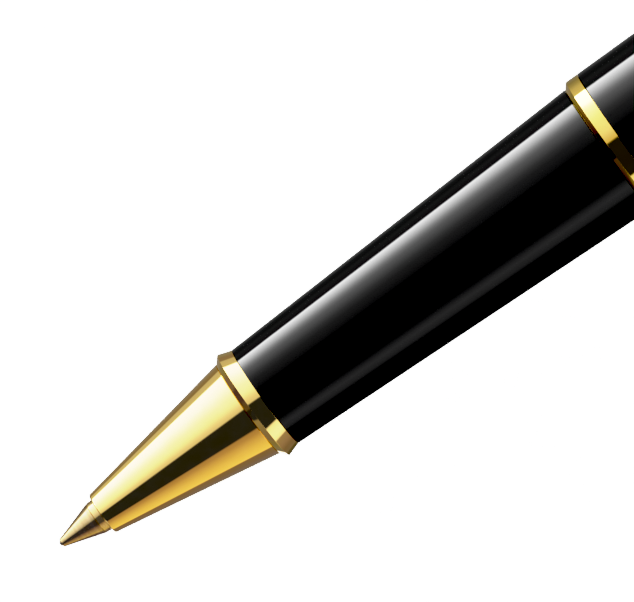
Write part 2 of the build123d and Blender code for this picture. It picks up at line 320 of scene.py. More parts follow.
def black_resin():
    """Polished black resin with a very slight orange peel and fine handling marks."""
    material, tree, shader = new_material("black_resin", (0.0002, 0.0002, 0.0002), 0.0, 0.03, 1.6)
    vector = object_coordinates(tree)
    smear = noise(tree, vector, 700, 5, 0.6)
    polish(tree, shader, smear, 0.02, 0.045)
    paint(tree, shader, smear, (0.0001, 0.0001, 0.0001), (0.0003, 0.0003, 0.0003))
    relief(tree, shader, noise(tree, vector, 1600, 3), 0.0000012)
    return material


def tip_brass():
    """Pale brass with fine tool marks round the axis, turned in front of the step; behind it a paler copy
    of the same brass, painted light that brightens the stem.
    """
    material, tree, shader = new_material("tip_brass", (0.50, 0.39, 0.20), 0.975, 0.14)
    marks = noise(tree, object_coordinates(tree, (14000, 120, 120)), 1, 5, 0.65)
    broad = noise(tree, object_coordinates(tree, (3500, 60, 60)), 1, 3)
    streak = spread(tree, broad, 0, 1)
    turned = tint(tree, streak, (0.53, 0.415, 0.235), (0.46, 0.35, 0.18))
    # Behind the step the brass is painted lighter: painted light on the stem, not a different finish.
    stem_painted_light = tint(tree, streak, (0.68, 0.51, 0.245), (0.63, 0.47, 0.215))
    position = tree.nodes.new("ShaderNodeSeparateXYZ")
    tree.links.new(object_coordinates(tree), position.inputs["Vector"])
    step_width = 0.05
    step = (TIP_STEP * MM, (TIP_STEP + step_width) * MM)
    colour = blend(tree, turned, stem_painted_light, position.outputs["X"], *step)
    tree.links.new(colour, shader.inputs["Base Color"])
    polish(tree, shader, broad, 0.10, 0.17)
    relief(tree, shader, marks, 0.0000025)
    return material


def plain_brass():
    """Machined brass inside the pen, duller and browner than the plating."""
    material, tree, shader = new_material("plain_brass", (0.78, 0.60, 0.30), 1.0, 0.25)
    marks = noise(tree, object_coordinates(tree, (9000, 80, 80)), 1, 4)
    stain = noise(tree, object_coordinates(tree), 450, 4)
    paint(tree, shader, stain, (0.82, 0.64, 0.33), (0.66, 0.49, 0.23))
    polish(tree, shader, stain, 0.18, 0.34)
    relief(tree, shader, marks, 0.000002)
    return material


def steel(name, colour, roughness, grain):
    """Bright steel or carbide with fine marks, of this grain per metre."""
    material, tree, shader = new_material(name, colour, 1.0, roughness)
    marks = noise(tree, object_coordinates(tree), grain, 4)
    polish(tree, shader, marks, roughness * 0.7, roughness * 1.4)
    dim = tuple(0.8 * channel for channel in colour)
    paint(tree, shader, marks, colour, dim)
    relief(tree, shader, marks, 0.000001)
    return material


def moulded(name, colour, roughness):
    """Moulded plastic with a fine even texture."""
    material, tree, shader = new_material(name, colour, 0.0, roughness)
    vector = object_coordinates(tree)
    cloud = noise(tree, vector, 500, 3)
    pale = tuple(1.5 * channel for channel in colour)
    paint(tree, shader, cloud, colour, pale)
    polish(tree, shader, cloud, roughness * 0.8, roughness * 1.2)
    relief(tree, shader, noise(tree, vector, 6000, 2), 0.000004)
    return material


def ink_fibre():
    """Bonded fibre drawn along the axis, dark with ink."""
    material, tree, shader = new_material("ink_fibre", (0.02, 0.025, 0.07), 0.0, 0.8)
    strands = noise(tree, object_coordinates(tree, (60, 9000, 9000)), 1, 3)
    paint(tree, shader, strands, (0.012, 0.015, 0.05), (0.06, 0.07, 0.14))
    relief(tree, shader, strands, 0.00002)
    return material


GOLD = gold_plate("gold_plate", (0.95, 0.70, 0.265))
# A darker, redder copy of the same gold plating, for the trim ring: painted shade for the dimmer light
# the ring shows.
GOLD_PAINTED_SHADE = gold_plate("gold_plate_painted_shade", (0.85, 0.62, 0.19))
RESIN = black_resin()
TIP_BRASS = tip_brass()
BRASS = plain_brass()
CARBIDE = steel("carbide", (0.48, 0.43, 0.32), 0.18, 9000)
SPRING_STEEL = steel("spring_steel", (0.62, 0.61, 0.60), 0.20, 5000)
BLACK_PLASTIC = moulded("black_plastic", (0.012, 0.012, 0.012), 0.35)
REFILL_PLASTIC = moulded("refill_plastic", (0.05, 0.05, 0.055), 0.30)
INK_FIBRE = ink_fibre()


# ---- the refill's tip ---------------------------------------------------------------------------

def build_ball():
    """The writing ball, as a fine turned sphere."""
    start, _, radius = ends("writing_ball")
    steps = 24
    sides = 64
    line = []
    for step in range(steps + 1):
        angle = math.pi * step / steps
        line.append((start + radius * (1 - math.cos(angle)), radius * math.sin(angle)))
    place(revolve("ball", line, sides), "refill", "writing_ball", CARBIDE)


def build_refill_tip():
    """The brass tip: crimped over the ball, a fine-turned cone, a groove and the stem behind it."""
    start, end, radius = ends("refill_tip")
    _, ball_end, ball_radius = ends("writing_ball")
    shoulder = ends("refill_nose")[0]
    rod_start = ends("feed_rod")[0]
    ball_gap = 0.012
    lip = 0.008
    socket = ball_radius + ball_gap
    socket_mouth = math.sqrt(socket ** 2 - (ball_radius - start) ** 2)
    ink_bore = 0.12
    crimp = 0.20
    cone_radius = radius - 0.02
    cone_slope = 0.312
    groove = 0.03
    stem_crest = 0.6
    outline = [
        (start, socket_mouth),
        (start, ball_radius + lip, 0.02),
        (crimp, cone_radius - cone_slope * (TIP_STEP - crimp), 0.05),
        (TIP_STEP, cone_radius, 0.01),
        (TIP_STEP + groove, cone_radius - groove),
        (TIP_STEP + 2 * groove, cone_radius, 0.01),
        (TIP_STEP + stem_crest, radius + 0.028, 0.02),
        (shoulder, radius, 0.05),
        (shoulder, TIP_PLUG_RADIUS),
        (end, TIP_PLUG_RADIUS),
        (end, ROD_BORE),
        (rod_start, ROD_BORE),
        (rod_start, ink_bore),
        (ball_end, ink_bore),
        (ball_radius, socket),
    ]
    place(revolve("tip", rounded(outline)), "refill", "refill_tip", TIP_BRASS)


# ---- the gripping section -----------------------------------------------------------------------

def build_front_cone():
    """The polished nose cone with its rounded lip and the spigot behind it."""
    start, end, radius = ends("front_cone")
    shoulder = ends("front_ring")[0]
    slope = 0.1758
    mouth_radius = 1.45
    mouth_end = 7.2
    nose_bore = 2.05
    nose_bore_start = 8.2
    outline = [
        (start, mouth_radius, 0.008),
        (start, radius - slope * (shoulder - start), 0.34),
        (shoulder, radius, 0.012),
        (shoulder, SPIGOT_RADIUS),
        (end, SPIGOT_RADIUS),
        (end, SECTION_BORE),
        (SEAT_END, SECTION_BORE),
        (SEAT_START, nose_bore),
        (nose_bore_start, nose_bore),
        (mouth_end, mouth_radius),
    ]
    place(revolve("nose_cone", rounded(outline)), "section", "front_cone", GOLD)


def build_front_ring():
    """The ring behind the cone: a bevel up to a crest, then a taper down to the grip."""
    start, end, crest = ends("front_ring")
    face_radius = 4.18
    bevel_length = 0.51
    back_radius = 4.40
    outline = [
        (start, SPIGOT_RADIUS),
        (start, face_radius, 0.01),
        (start + bevel_length, crest, 0.03),
        (end, back_radius, 0.03),
        (end, SPIGOT_RADIUS),
    ]
    place(revolve("nose_ring", rounded(outline)), "section", "front_ring", GOLD)


def build_grip():
    """The tapered resin grip."""
    start, end, radius = ends("grip_section")
    front_radius = 4.41
    bore = ends("section_core")[2]
    outline = [
        (start, bore),
        (start, front_radius, 0.05),
        (end, radius, 0.06),
        (end, bore),
    ]
    place(revolve("grip", rounded(outline)), "section", "grip_section", RESIN)


def helix_radius(x, angle, root, depth):
    """The radius of a two-start thread of 1.5 mm lead: flat-topped ridges, 0.75 mm apart."""
    lead = 1.5
    flat = 0.2
    phase = (x - lead * angle / (2 * math.pi)) / (lead / 2)
    ridge = abs((phase % 1) * 2 - 1)
    return root + depth * min(1, max(0, (ridge - flat) / (1 - 2 * flat)))


def threaded(name, start, end, root, depth, rest_of_outline):
    """A turned piece whose first stretch, from start to end, is a thread that fades at either end."""
    step = 0.05
    fade_steps = 10
    count = round((end - start) / step)
    angles = [2 * math.pi * k / INNER_SIDES for k in range(INNER_SIDES)]
    mesh = bmesh.new()
    rings = []
    for i in range(count + 1):
        x = start + (end - start) * i / count
        fade = min(1, i / fade_steps, (count - i) / fade_steps)
        radii = [root + (helix_radius(x, angle, root, depth) - root) * fade for angle in angles]
        rings.append(ring_of_corners(mesh, x, radii))
    for x, radius in rest_of_outline:
        rings.append(ring_of_corners(mesh, x, [radius] * INNER_SIDES))
    for first, second in zip(rings, rings[1:] + rings[:1]):
        bridge(mesh, first, second)
    return finish_mesh(name, mesh, sharp_angle=60)


def build_section_thread():
    """The brass screw at the back of the section, with its two-start thread."""
    start, end, radius = ends("section_thread")
    collar_end = ends("grip_section")[1]
    collar_radius = 3.95
    depth = 0.35
    root = radius - depth
    rest = [
        (end, SECTION_BORE),
        (start, SECTION_BORE),
        (start, collar_radius),
        (collar_end, collar_radius),
        (collar_end, root),
    ]
    relief_width = 0.3
    end_bevel = 0.02
    piece = threaded("section_screw", collar_end + relief_width, end - end_bevel, root, depth, rest)
    place(piece, "section", "section_thread", BRASS)


def build_barrel_bush():
    """The brass nut in the barrel that the section screws into."""
    start, end, radius = ends("barrel_bush")
    screw_gap = 0.05
    bore = ends("section_thread")[2] + screw_gap
    nose_radius = 4.9
    shoulder = ends("barrel_shell")[0]
    depth = 0.25
    rest = [
        (end, bore),
        (end, radius),
        (shoulder, radius),
        (shoulder, nose_radius),
        (start, nose_radius),
        (start, bore),
    ]
    lead_in = 0.3
    lead_out = 0.2
    piece = threaded("barrel_nut", start + lead_in, end - lead_out, bore, depth, rest)
    place(piece, "barrel", "barrel_bush", BRASS)


# ---- inside the pen -----------------------------------------------------------------------------

def build_refill():
    """The refill behind its tip: nose, tube, end plug, and the ink's reservoir and feed rod."""
    tip_shoulder, nose_end, _ = ends("refill_nose")
    tip_end = ends("refill_tip")[1]
    tube_start, tube_end, tube_radius = ends("refill_tube")
    tube_bore = 2.5
    nose_radius = 1.95
    seat_gap = 0.05
    nose = [
        (tip_shoulder, TIP_PLUG_RADIUS),
        (tip_shoulder, nose_radius, 0.1),
        (SEAT_START + seat_gap, nose_radius, 0.2),
        (SEAT_END + seat_gap, tube_radius, 0.3),
        (tube_start, tube_radius),
        (tube_start, tube_bore),
        (nose_end, tube_bore),
        (nose_end, ROD_BORE),
        (tip_end, ROD_BORE),
        (tip_end, TIP_PLUG_RADIUS),
    ]
    tube = [
        (tube_start, tube_bore),
        (tube_start, tube_radius, 0.04),
        (tube_end, tube_radius, 0.04),
        (tube_end, tube_bore),
    ]
    plug_start, plug_end, plug_radius = ends("refill_end_plug")
    vent = 0.3
    plug_bevel = 0.4
    plug = [
        (plug_start, vent),
        (plug_start, tube_bore, 0.2),
        (tube_end, tube_bore),
        (tube_end, plug_radius, 0.04),
        (plug_end - plug_bevel, plug_radius, 0.2),
        (plug_end, plug_radius - plug_bevel, 0.2),
        (plug_end, vent, 0.1),
    ]
    reservoir_start, reservoir_end, reservoir_radius = ends("ink_reservoir")
    rod_start, rod_end, rod_radius = ends("feed_rod")
    reservoir = [
        (reservoir_start, ROD_BORE),
        (reservoir_start, reservoir_radius, 0.15),
        (reservoir_end, reservoir_radius, 0.15),
        (reservoir_end, 0),
        (rod_end, 0),
        (rod_end, ROD_BORE),
    ]
    rod = [
        (rod_start, 0),
        (rod_start, rod_radius / 2, 0.1),
        (rod_start + rod_radius, rod_radius, 0.2),
        (rod_end, rod_radius),
        (rod_end, 0),
    ]
    pieces = [
        ("refill_front", nose, "refill_plastic", "refill_nose", REFILL_PLASTIC),
        ("refill_body", tube, "refill_plastic", "refill_tube", REFILL_PLASTIC),
        ("refill_stopper", plug, "refill_plastic", "refill_end_plug", REFILL_PLASTIC),
        ("ink_store", reservoir, "ink_fibre", "ink_reservoir", INK_FIBRE),
        ("ink_wick", rod, "ink_fibre", "feed_rod", INK_FIBRE),
    ]
    for name, outline, slot, node, material in pieces:
        place(revolve(name, rounded(outline), INNER_SIDES), "refill", node, material)


def build_grip_lining():
    """The plastic tube in the grip, stepped for the front cone's spigot."""
    start, end, radius = ends("section_core")
    spigot_end = ends("front_cone")[1]
    outline = [
        (start, SPIGOT_RADIUS),
        (start, radius),
        (end, radius),
        (end, SECTION_BORE),
        (spigot_end, SECTION_BORE),
        (spigot_end, SPIGOT_RADIUS),
    ]
    piece = revolve("grip_lining", rounded(outline), INNER_SIDES)
    place(piece, "section", "section_core", BLACK_PLASTIC)


def build_cap_seal():
    """The inner cap: a lip that grips the pen, a chamber for its nose, and the stud at the top."""
    start, stud_end, radius = ends("inner_cap")
    collar_start = ends("clip_collar")[0]
    chamber_radius = 4.3
    chamber_end = 138.6
    lip_bore = 4.88
    lip_length = 4.0
    lead_in = 0.5
    outline = [
        (start, lip_bore + lead_in / 2, 0.1),
        (start, radius, 0.1),
        (collar_start, radius),
        (collar_start, STUD_RADIUS),
        (stud_end, STUD_RADIUS, 0.2),
        (stud_end, 0),
        (chamber_end, 0),
        (chamber_end, chamber_radius, 0.4),
        (start + lip_length + lead_in, chamber_radius, 0.2),
        (start + lip_length, lip_bore, 0.1),
        (start + lead_in, lip_bore, 0.1),
    ]
    piece = revolve("cap_seal", rounded(outline), INNER_SIDES)
    place(piece, "cap", "inner_cap", BRASS)


def build_spring():
    """The spring behind the refill: round wire, its end turns wound close."""
    start, end, outer_radius = ends("refill_spring")
    wire = 0.2
    coil = outer_radius - wire
    turn_gap = 0.02
    close_pitch = 2 * wire + turn_gap
    open_turns = 5
    turns = open_turns + 2
    open_pitch = (end - start - 2 * wire - 2 * close_pitch) / open_turns
    steps_per_turn = 40
    wire_sides = 12
    mesh = bmesh.new()
    rings = []
    for step in range(turns * steps_per_turn + 1):
        turn = step / steps_per_turn
        opened = min(max(turn - 1, 0), open_turns)
        x = start + wire + open_pitch * opened + close_pitch * (turn - opened)
        angle = 2 * math.pi * turn
        outward = Vector((0, math.cos(angle), math.sin(angle)))
        centre = Vector((x, 0, 0)) + outward * coil
        ring = []
        for k in range(wire_sides):
            around = 2 * math.pi * k / wire_sides
            offset = outward * math.cos(around) + Vector((1, 0, 0)) * math.sin(around)
            ring.append(mesh.verts.new((centre + offset * wire) * MM))
        rings.append(ring)
    join_rings(mesh, rings)
    piece = finish_mesh("tail_spring", mesh)
    place(piece, "barrel", "refill_spring", SPRING_STEEL)
    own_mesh(piece)


# ---- the barrel ---------------------------------------------------------------------------------

def build_trim_ring():
    """The ring between grip and barrel, bevelled in front and flush with the barrel behind."""
    start, end, radius = ends("barrel_trim_ring")
    step_down = 0.03
    face_radius = ends("grip_section")[2] - step_down
    bevel_length = 0.39
    bore = 4.3
    bore_length = 0.8
    bush_bore = 4.95
    outline = [
        (start, bore),
        (start, face_radius, 0.02),
        (start + bevel_length, radius, 0.03),
        (end, radius, 0.03),
        (end, bush_bore),
        (start + bore_length, bush_bore),
        (start + bore_length, bore),
    ]
    piece = revolve("barrel_ring", rounded(outline))
    # The ring takes the darker copy of the plating: painted shade.
    place(piece, "trim_ring", "barrel_trim_ring", GOLD_PAINTED_SHADE)


def build_barrel():
    """The resin barrel: a cylinder in front, then one long curve in to the tail."""
    start, end, radius = ends("barrel_shell")
    bush_end = ends("barrel_bush")[1]
    plug_start = ends("tail_plug")[0]
    straight_end = 72.0
    line = rounded([
        (bush_end, BARREL_BORE),
        (bush_end, BUSH_RADIUS),
        (start, BUSH_RADIUS),
        (start, radius, 0.05),
        (straight_end, radius),
    ])
    line += shallow_arc(straight_end, end, radius, ends("tail_ring")[2], steps=40)
    line += [(end, TAIL_BORE), (plug_start, TAIL_BORE), (plug_start, BARREL_BORE)]
    place(revolve("barrel_body", line), "barrel", "barrel_shell", RESIN)


def build_tail():
    """The gold ring and the domed resin plug that close the barrel."""
    start, end, radius = ends("tail_ring")
    taper = 0.06
    outline = [(start, TAIL_BORE), (start, radius, 0.05), (end, radius - taper, 0.05), (end, TAIL_BORE)]
    place(revolve("tail_band", rounded(outline)), "barrel", "tail_ring", GOLD)

    front, back, dome_radius = ends("tail_plug")
    pocket_radius = 2.6
    pocket_end = 116.6
    line = [
        (end, TAIL_BORE),
        (front, TAIL_BORE),
        (front, pocket_radius),
        (pocket_end, pocket_radius),
        (pocket_end, 0),
    ]
    line += reversed(dome(end, back, dome_radius, steps=28))
    place(revolve("tail_dome", line), "barrel", "tail_plug", RESIN)


# ---- the cap ------------------------------------------------------------------------------------

def build_cap_bands():
    """The band round the cap's lip, with its sleeve inside the shell, and the thin ring."""
    start, end, radius = ends("cap_lip_band")
    shell_start = ends("cap_shell")[0]
    outline = [
        (start, CAP_BORE, 0.2),
        (start, radius, 0.25),
        (shell_start, radius, 0.04),
        (shell_start, LIP_SLEEVE_RADIUS),
        (end, LIP_SLEEVE_RADIUS),
        (end, CAP_BORE),
    ]
    place(revolve("lip_band", rounded(outline)), "cap", "cap_lip_band", GOLD)

    start, end, radius = ends("cap_thin_ring")
    outline = [(start, THIN_RING_BED), (start, radius, 0.12), (end, radius, 0.12), (end, THIN_RING_BED)]
    place(revolve("thin_band", rounded(outline)), "cap", "cap_thin_ring", GOLD)


def build_cap_shell():
    """The cap's resin shell: a cylinder with a groove for the thin ring, a little narrower at the top."""
    start, end, radius = ends("cap_shell")
    sleeve_end = ends("cap_lip_band")[1]
    ring_start, ring_end, _ = ends("cap_thin_ring")
    seal_start = ends("inner_cap")[0]
    seal_radius = 5.6
    shoulder = 136.0
    line = rounded([
        (end, seal_radius),
        (seal_start, seal_radius),
        (seal_start, CAP_BORE),
        (sleeve_end, CAP_BORE),
        (sleeve_end, LIP_SLEEVE_RADIUS),
        (start, LIP_SLEEVE_RADIUS),
        (start, radius, 0.05),
        (ring_start, radius, 0.04),
        (ring_start, THIN_RING_BED),
        (ring_end, THIN_RING_BED),
        (ring_end, radius, 0.04),
        (shoulder, radius),
    ])
    line += shallow_arc(shoulder, end, radius, ends("clip_collar")[2], steps=16)
    place(revolve("cap_body", line), "cap", "cap_shell", RESIN)


def build_finial():
    """The domed resin finial on the cap's stud."""
    start, end, radius = ends("finial")
    stud_end = ends("inner_cap")[1]
    straight = 0.8
    rim = start + straight
    line = [(stud_end, 0), (stud_end, STUD_RADIUS), (start, STUD_RADIUS)]
    line += rounded([(start, STUD_RADIUS + 0.1), (start, radius, 0.08), (rim, radius)])[1:]
    line += dome(rim, end, radius, steps=32)[1:]
    place(revolve("cap_top", line), "cap", "finial", RESIN)


# ---- the clip -----------------------------------------------------------------------------------

CLIP_HINGE = next(joint for joint in frame["joints"] if joint["name"] == "clip_flex")
CLIP_SIDEWAYS = Vector(CLIP_HINGE["axis"])
CLIP_OUTWARD = Vector((0, *CLIP_HINGE["pos_m"][1:])).normalized()
CLIP_PIVOT = CLIP_HINGE["pos_m"][0] / MM
CLIP_PIVOT_REACH = Vector(CLIP_HINGE["pos_m"][1:]).length / MM
CLIP_REACH = 9.6               # the clip's outer face, measured from the pen's axis
CLIP_THICKNESS = 0.9
CLIP_ROOT_HALF = 1.8           # half its width at the root
CLIP_END_HALF = 1.3
CLIP_ARC_STEPS = 12            # stations round the eye, and round the bend


def bar_section(half, height, rounding):
    """A rounded rectangle of (sideways, outward) points, its outer face curved about the pen's axis."""
    size = min(rounding, half * ARC_SHARE, height * ARC_SHARE)
    side = half - size
    top = height - size
    between = 0.45 * half
    corner_steps = 4
    points = []
    for i, (across, out) in enumerate([(side, top), (-side, top), (-side, size), (side, size)]):
        for step in range(corner_steps + 1):
            angle = math.radians(90 * (i + step / corner_steps))
            points.append((across + size * math.cos(angle), out + size * math.sin(angle)))
        if i == 0:
            points += [(between, height), (0, height), (-between, height)]
    return [(across, out - across ** 2 / (2 * CLIP_REACH) * out / height) for across, out in points]


def bar(name, stations, rounding):
    """A bar through stations of (inner point, outer point, half width), points being (x, radius)."""
    mesh = bmesh.new()
    rings = []
    for inner, outer, half in stations:
        inner = Vector(inner)
        span = Vector(outer) - inner
        ring = []
        for across, out in bar_section(half, span.length, rounding):
            x, reach = inner + span.normalized() * out
            corner = Vector((x, 0, 0)) + CLIP_OUTWARD * reach + CLIP_SIDEWAYS * across
            ring.append(mesh.verts.new(corner * MM))
        rings.append(ring)
    join_rings(mesh, rings)
    return finish_mesh(name, mesh, sharp_angle=40)


def eye_stations(radius, neck_half, half_width):
    """The stations of a round eye about the clip's pivot, up to where the neck leaves it."""
    bottom = -1.5
    top = math.acos(neck_half / radius)
    stations = []
    for step in range(CLIP_ARC_STEPS + 1):
        angle = bottom + (top - bottom) * step / CLIP_ARC_STEPS
        reach = CLIP_PIVOT_REACH + radius * math.sin(angle)
        half = radius * math.cos(angle)
        stations.append(((CLIP_PIVOT - half, reach), (CLIP_PIVOT + half, reach), half_width))
    return stations


def rounding_off(distance, length):
    """How full a rounded end is at a distance from it: 0 at the end itself, 1 from this length on."""
    share = min(1, distance / length)
    return math.sqrt(1 - (1 - share) ** 2)


def build_clip():
    """The sprung arm: its eye in the collar, the bend, the arm that tapers, and the pad that grips."""
    end = ends("clip_arm")[0]
    bend_radius = 1.6
    slope_start = CLIP_PIVOT - 5.0
    outer_drop = 0.7
    station_gap = 1.5
    pad_length = 5.0
    pad_steps = 30
    pad_rise = 0.9
    pad_radius = ((pad_length / 2) ** 2 + pad_rise ** 2) / (2 * pad_rise)
    pad_gap = 0.08
    pad_low = ends("cap_shell")[2] + pad_gap
    pad_end = end + pad_length
    lip_length = 0.4
    thinnest = 0.3
    narrowest = 0.12
    inner_start = CLIP_REACH - CLIP_THICKNESS

    eye_radius = 0.75
    stations = eye_stations(eye_radius, CLIP_THICKNESS / 2, CLIP_ROOT_HALF)
    centre = Vector((CLIP_PIVOT + CLIP_THICKNESS / 2 - bend_radius, CLIP_REACH - bend_radius))
    for step in range(CLIP_ARC_STEPS + 1):
        angle = math.pi / 2 * step / CLIP_ARC_STEPS
        outward = Vector((math.cos(angle), math.sin(angle)))
        inner = centre + outward * (bend_radius - CLIP_THICKNESS)
        stations.append((inner, centre + outward * bend_radius, CLIP_ROOT_HALF))

    places = []
    arm_start = centre.x - 1.0
    arm_end = pad_end + 0.3
    for step in range(math.ceil((arm_start - arm_end) / station_gap)):
        places.append(arm_start - station_gap * step)
    for step in range(pad_steps, -1, -1):
        places.append(end + pad_length * math.sin(math.pi / 2 * step / pad_steps))
    for x in places:
        down = max(0, (slope_start - x) / (slope_start - end))
        outer = CLIP_REACH - outer_drop * down
        if x > pad_end:
            inner_down = max(0, (slope_start - x) / (slope_start - pad_end))
            inner = inner_start + (pad_low + pad_rise - inner_start) * inner_down
        else:
            inner = pad_low + pad_radius - math.sqrt(pad_radius ** 2 - (x - end - pad_length / 2) ** 2)
        taper = (CLIP_PIVOT - x) / (CLIP_PIVOT - end)
        half = CLIP_ROOT_HALF + (CLIP_END_HALF - CLIP_ROOT_HALF) * taper
        half *= max(narrowest, rounding_off(x - end, CLIP_END_HALF))
        squeeze = (1 - max(thinnest, rounding_off(x - end, lip_length))) * (outer - inner) / 2
        stations.append(((x, inner + squeeze), (x, outer - squeeze), half))
    piece = bar("pocket_clip_arm", stations, rounding=0.28)
    place(piece, "clip", "clip_arm", GOLD)


def build_clip_collar():
    """The collar that the clip is hinged in, with its slot."""
    start, end, radius = ends("clip_collar")
    outline = [(start, STUD_RADIUS), (start, radius, 0.15), (end, radius, 0.15), (end, STUD_RADIUS)]
    piece = revolve("clip_holder", rounded(outline))
    gap = 0.15
    slot_half = CLIP_THICKNESS / 2 + gap
    slot_depth = 4.0
    slot_end = CLIP_PIVOT_REACH + slot_depth
    slot_width_half = CLIP_ROOT_HALF + gap
    eye_radius = 0.79
    stations = eye_stations(eye_radius, slot_half, slot_width_half)
    mouth_front = (CLIP_PIVOT - slot_half, slot_end)
    mouth_back = (CLIP_PIVOT + slot_half, slot_end)
    stations.append((mouth_front, mouth_back, slot_width_half))
    cutter = bar("slot_cutter", stations, rounding=0.02)
    cut = piece.modifiers.new("slot", "BOOLEAN")
    cut.operation = "DIFFERENCE"
    cut.object = cutter
    cut.solver = "EXACT"
    bpy.context.view_layer.update()
    evaluated = piece.evaluated_get(bpy.context.evaluated_depsgraph_get())
    slotted = bpy.data.meshes.new_from_object(evaluated)
    piece.modifiers.clear()
    piece.data = slotted
    piece.data.set_sharp_from_angle(angle=math.radians(35))
    bpy.data.objects.remove(cutter)
    place(piece, "cap", "clip_collar", GOLD)


# ---- studio -------------------------------------------------------------------------------------

def build_floor():
    """A pale table top under the cap's lowest line."""
    half = 4.0
    gap = 0.00002
    level = cad_box[0][2] - gap
    corners = [(-half, -half), (half, -half), (half, half), (-half, half)]
    mesh = bmesh.new()
    mesh.faces.new([mesh.verts.new((x, y, level)) for x, y in corners])
    floor = finish_mesh("table_top", mesh)
    material, tree, shader = new_material("table_paint", (0.84, 0.84, 0.84), 0.0, 0.7)
    speck = noise(tree, object_coordinates(tree), 300, 3)
    paint(tree, shader, speck, (0.84, 0.84, 0.84), (0.82, 0.82, 0.82))
    floor.data.materials.append(material)
    floor.visible_glossy = False


# Brightness of the studio by the angle round the pen's axis, in degrees from straight up: minus is
# the side of the big soft light (+Y), plus is the side of the reflectors (-Y). Plus and minus 180 is
# the table. A light has one brightness, or three where it is tinted.
WHITE = 3.6                    # the brightness that comes out as white
SHADE = (0.084, 0.108, 0.248)
ABOVE = [                      # what a surface parallel to the axis reflects
    (-180, 0.9),
    (-170, 0.8),
    (-165, 0.3),
    (-142, 0.34),
    (-130, 0.47),
    (-119, 0.68),
    (-103.5, 0.84),
    (-101.5, 12.0),
    (-98, 11.4),
    (-90, 9.0),
    (-85, 7.3),
    (-79, 5.0),
    (-74, 3.6),
    (-68, 2.7),
    (-57, 2.0),
    (-50, 1.6),
    (-41, 1.35),
    (-24, 1.2),
    (-16, 0.95),
    (-8.3, (0.87, 0.76, 0.62)),
    (-6.3, SHADE),
    (51, SHADE),
    (53, 1.1),
    (64, 1.35),
    (70, 1.42),
    (82, 1.2),
    (88, 0.95),
    (94, 0.48),
    (125, 0.35),
    (145, 0.16),
    (170, 0.16),
    (174, 0.9),
]
AHEAD = [                      # what the cones in front reflect
    (-180, 0.35),
    (-127, (0.31, 0.28, 0.32)),
    (-124, 0.63),
    (-104.7, 0.71),
    (-102.2, 3.7),
    (-84, 3.3),
    (-73, 3.0),
    (-54, 2.15),
    (-45, 1.8),
    (-33, 1.5),
    (-20, 1.1),
    (-13, 0.91),
    (-6, 0.79),
    (-3.5, SHADE),
    (45, SHADE),
    (49, (0.47, 0.35, 0.36)),
    (57, (0.53, 0.40, 0.38)),
    (69, (0.70, 0.56, 0.43)),
    (84, (0.85, 0.73, 0.47)),
    (99, (0.98, 0.84, 0.49)),
    (110.5, (1.15, 0.90, 0.50)),
    (113.5, (0.28, 0.25, 0.34)),
    (147, (0.26, 0.24, 0.33)),
    (164, 0.25),
    (169, 3.0),
    (180, 3.0),
]
BEHIND = [                     # what the back of the front ring reflects
    (-180, 0.9),
    (-170, 0.8),
    (-165, 0.3),
    (-135, (0.32, 0.29, 0.35)),
    (-127, (0.33, 0.30, 0.36)),
    (-124, 0.62),
    (-106, 0.69),
    (-103.5, 3.8),
    (-86, 3.3),
    (-67, 2.5),
    (-49, 1.75),
    (-32, 1.45),
    (-23, 1.12),
    (-15, 0.91),
    (-7.5, 0.80),
    (-5.5, SHADE),
    (53.5, SHADE),
    (57.5, 1.2),
    (70, 1.45),
    (80, 1.5),
    (89.5, 1.2),
    (93, (0.40, 0.36, 0.44)),
    (112, (0.35, 0.30, 0.40)),
    (125, (0.27, 0.24, 0.32)),
    (170, 0.23),
    (174, 0.9),
]
TIP_AHEAD = [                  # what the steeper cone of the refill's tip reflects
    (-180, 0.3),
    (-128, 0.3),
    (-125, 0.62),
    (-109, 0.72),
    (-106.5, 4.4),
    (-100, (5.0, 5.2, 4.0)),
    (-90, (4.4, 4.2, 3.8)),
    (-79, (3.4, 2.8, 3.1)),
    (-68, 2.5),
    (-58, 2.1),
    (-38, 1.65),
    (-28, 1.45),
    (-18, 1.08),
    (-8, 0.80),
    (-4, 0.70),
    (-1.5, SHADE),
    (46, SHADE),
    (60, (0.37, 0.28, 0.37)),
    (71, (0.58, 0.45, 0.44)),
    (93, (0.84, 0.65, 0.50)),
    (106, (0.92, 0.78, 0.58)),
    (124, (0.88, 0.75, 0.62)),
    (134, (0.45, 0.38, 0.42)),
    (150, 0.28),
    (170, 0.28),
]
FAR_AHEAD = [                  # what the bevels reflect, by the direction's share across the pen
    (-0.56, (0.15, 0.15, 0.21)),
    (-0.44, (0.24, 0.22, 0.31)),
    (-0.37, (0.28, 0.26, 0.34)),
    (-0.24, (0.34, 0.32, 0.37)),
    (-0.19, (0.34, 0.32, 0.37)),
    (-0.165, SHADE),
    (-0.03, SHADE),
    (0.00, (0.18, 0.18, 0.31)),
    (0.09, (0.18, 0.17, 0.29)),
    (0.13, (0.14, 0.13, 0.27)),
    (0.27, (0.14, 0.13, 0.27)),
    (0.31, (0.25, 0.22, 0.32)),
    (0.50, (0.28, 0.25, 0.34)),
    (0.56, (0.20, 0.18, 0.26)),
]

# Where one ramp gives way to the next, by the direction's share along the pen: minus is ahead.
BEHIND_FROM = (0.10, 0.14)
AHEAD_FROM = (-0.187, -0.191)
TIP_AHEAD_FROM = (-0.45, -0.50)
FAR_AHEAD_FROM = (-0.70, -0.74)
AHEAD_DROOP = 0.08             # how far the edge of AHEAD shifts for directions that point down
HORIZON = (-2.61, -2.49)       # far ahead, the rise over which FAR_AHEAD gives way to ABOVE
HORIZON_SLANT = 3.0


